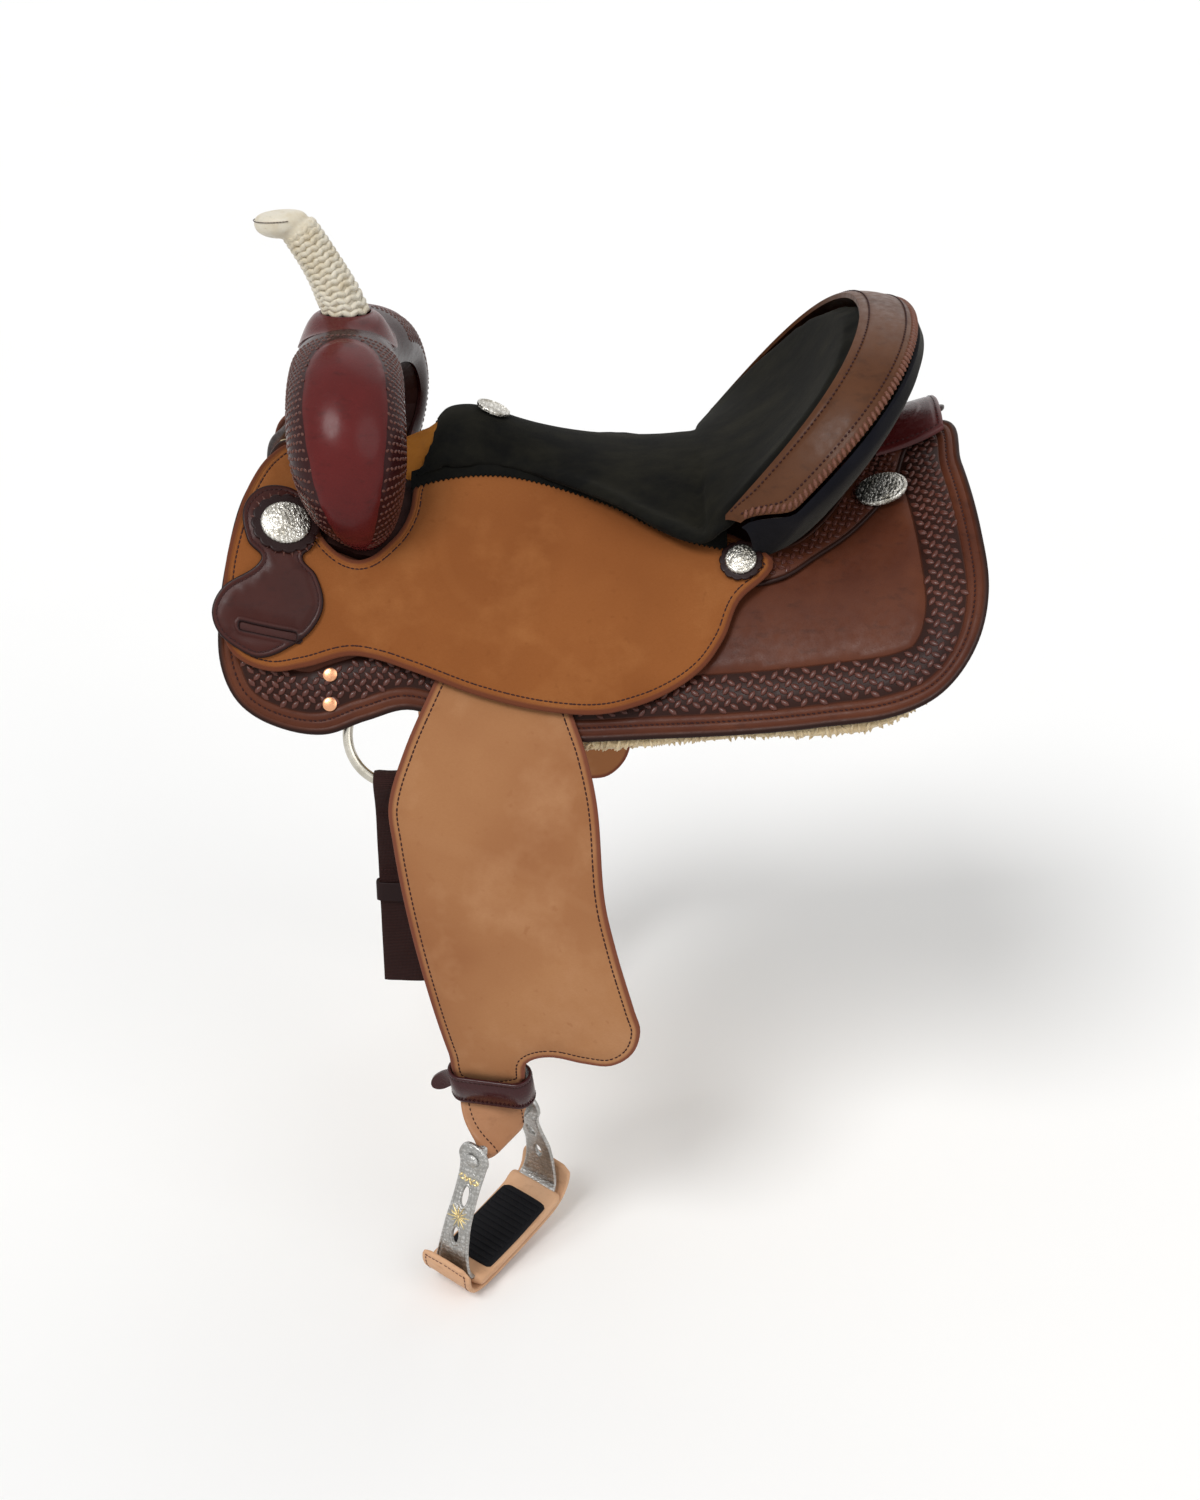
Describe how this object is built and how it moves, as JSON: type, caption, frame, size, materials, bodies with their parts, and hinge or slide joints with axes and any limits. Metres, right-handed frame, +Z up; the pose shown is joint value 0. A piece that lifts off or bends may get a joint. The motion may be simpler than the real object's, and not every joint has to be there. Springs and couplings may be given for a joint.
{
  "type": "barrel racing saddle",
  "caption": "Western barrel racing saddle with tall braided horn, padded suede seat, tooled skirts, swinging fenders and hinged stirrups.",
  "frame": {"origin": "on the ridge of the horse's back below the middle of the seat", "axes": "+Z up, +X to the rear (horn at -X), -Y the near (left) side"},
  "size_m": [0.672, 0.6352, 0.9652],
  "materials": {
    "oxblood": "glossy oxblood leather",
    "chestnut": "dark chestnut tooled leather",
    "tan": "tan roughout leather",
    "saddle_orange": "natural russet leather",
    "suede": "black suede over foam",
    "fleece": "cream wool fleece",
    "rawhide": "ivory rawhide",
    "wood": "rawhide-covered wood tree",
    "silver": "engraved silver plate",
    "aluminium": "engraved aluminium",
    "nickel": "nickel-plated steel",
    "copper": "polished copper",
    "rubber": "black ribbed rubber",
    "nylon": "dark brown nylon webbing",
    "harness": "natural harness leather"
  },
  "bodies": {
    "saddle": {"fleece_near": "fleece", "fleece_off": "fleece", "skirt_near": "chestnut", "skirt_off": "chestnut", "tree_bar_near": "wood", "tree_bar_off": "wood", "seat_jockey_near": "tan", "seat_jockey_off": "tan", "rear_jockey_near": "oxblood", "rear_jockey_off": "oxblood", "latigo_keeper_near": "oxblood", "latigo_keeper_off": "oxblood", "front_concho_near": "silver", "front_concho_off": "silver", "side_rosette_near": "oxblood", "side_rosette_off": "oxblood", "side_concho_near": "silver", "side_concho_off": "silver", "rear_concho_near": "silver", "rear_concho_off": "silver", "rivet_near_1": "copper", "rivet_near_2": "copper", "rivet_off_1": "copper", "rivet_off_2": "copper", "rigging_ring_near": "nickel", "rigging_ring_off": "nickel", "seat": "suede", "seat_badge": "silver", "ground_seat": "saddle_orange", "tree_cantle": "wood", "cantle_binding": "chestnut", "cantle_back": "suede", "rear_cap": "oxblood", "tree_fork": "wood", "swell_cover": "oxblood", "horn_post": "nickel", "horn_wrap": "rawhide", "horn_cap": "rawhide"},
    "latigo": {"latigo": "nylon"},
    "off_billet": {"off_billet": "harness"},
    "fender_assembly_near": {"fender_near": "tan", "stirrup_leather_near": "harness", "hobble_strap_near": "oxblood"},
    "stirrup_near": {"stirrup_frame_near": "aluminium", "stirrup_pin_near": "nickel", "tread_leather_near": "harness", "tread_pad_near": "rubber"},
    "fender_assembly_off": {"fender_off": "tan", "stirrup_leather_off": "harness", "hobble_strap_off": "oxblood"},
    "stirrup_off": {"stirrup_frame_off": "aluminium", "stirrup_pin_off": "nickel", "tread_leather_off": "harness", "tread_pad_off": "rubber"}
  },
  "joints": [
    {"name": "fender_swing_near", "type": "hinge", "parent": "saddle", "child": "fender_assembly_near", "pos_m": [-0.084, -0.14619, -0.0686], "axis": [-0.0215, -0.7079, 0.706], "range_deg": [-4, 5]},
    {"name": "fender_swing_off", "type": "hinge", "parent": "saddle", "child": "fender_assembly_off", "pos_m": [-0.084, 0.14619, -0.0686], "axis": [-0.0215, 0.7079, 0.706], "range_deg": [-5, 4]},
    {"name": "stirrup_hinge_near", "type": "hinge", "parent": "fender_assembly_near", "child": "stirrup_near", "pos_m": [-0.094, -0.256, -0.556], "axis": [0.568, 0.8112, 0.1392], "range_deg": [-30, 30]},
    {"name": "stirrup_hinge_off", "type": "hinge", "parent": "fender_assembly_off", "child": "stirrup_off", "pos_m": [-0.094, 0.256, -0.556], "axis": [0.568, -0.8112, 0.1392], "range_deg": [-30, 30]},
    {"name": "latigo_swing", "type": "hinge", "parent": "saddle", "child": "latigo", "pos_m": [-0.1811, -0.21412, -0.20675], "axis": [0.9983, -0.0584, 0], "range_deg": [-3, 45]},
    {"name": "off_billet_swing", "type": "hinge", "parent": "saddle", "child": "off_billet", "pos_m": [-0.1811, 0.21412, -0.20675], "axis": [0.9983, 0.0584, 0], "range_deg": [-45, 3]}
  ]
}
